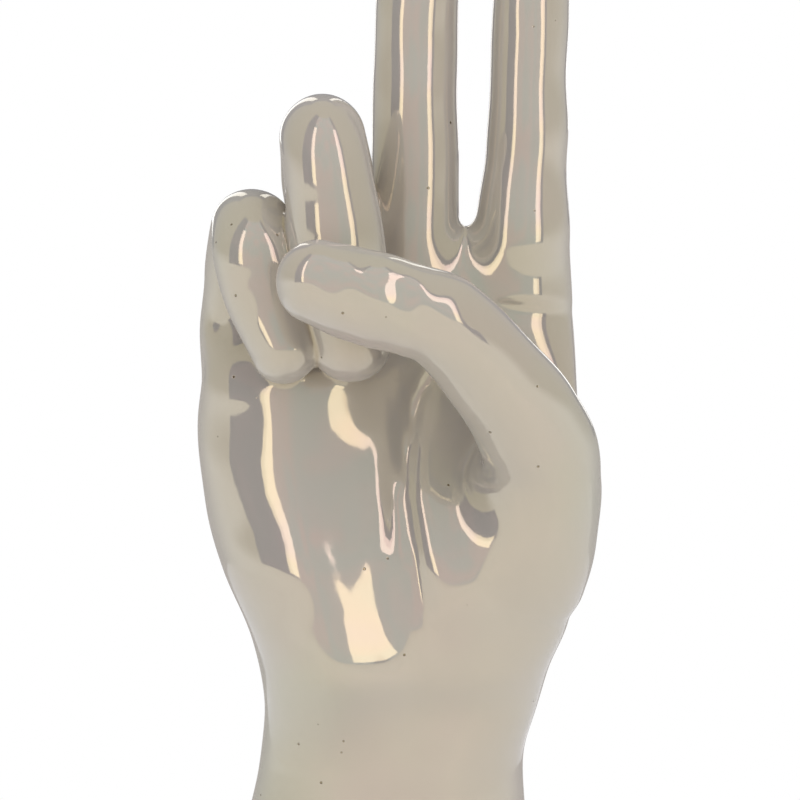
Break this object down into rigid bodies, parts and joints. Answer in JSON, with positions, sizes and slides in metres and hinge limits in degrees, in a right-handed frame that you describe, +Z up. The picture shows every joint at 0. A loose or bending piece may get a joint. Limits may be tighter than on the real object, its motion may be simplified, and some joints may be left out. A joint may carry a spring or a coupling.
{
  "type": "ceramic hand sculpture",
  "caption": "Free-standing glazed ceramic ornament: a hollow right hand on its cut wrist, two fingers raised in a V and the thumb folded over the curled fingers.",
  "frame": {"origin": "centre of the foot's underside, on the table", "axes": "+Z up the hand, the palm faces -Y, +X towards the thumb side"},
  "size_m": [0.0947, 0.0804, 0.25],
  "materials": {
    "glaze": "pearly lustre glaze over a warm greige body",
    "bisque": "unglazed matt",
    "rubber": "matt die-cut rubber sheet"
  },
  "bodies": {
    "root": {"hand_body": "glaze", "index_finger": "glaze", "middle_finger": "glaze", "ring_finger": "glaze", "little_finger": "glaze", "thumb": "glaze", "base_slab": "bisque", "rubber_pad": "rubber"}
  },
  "joints": []
}
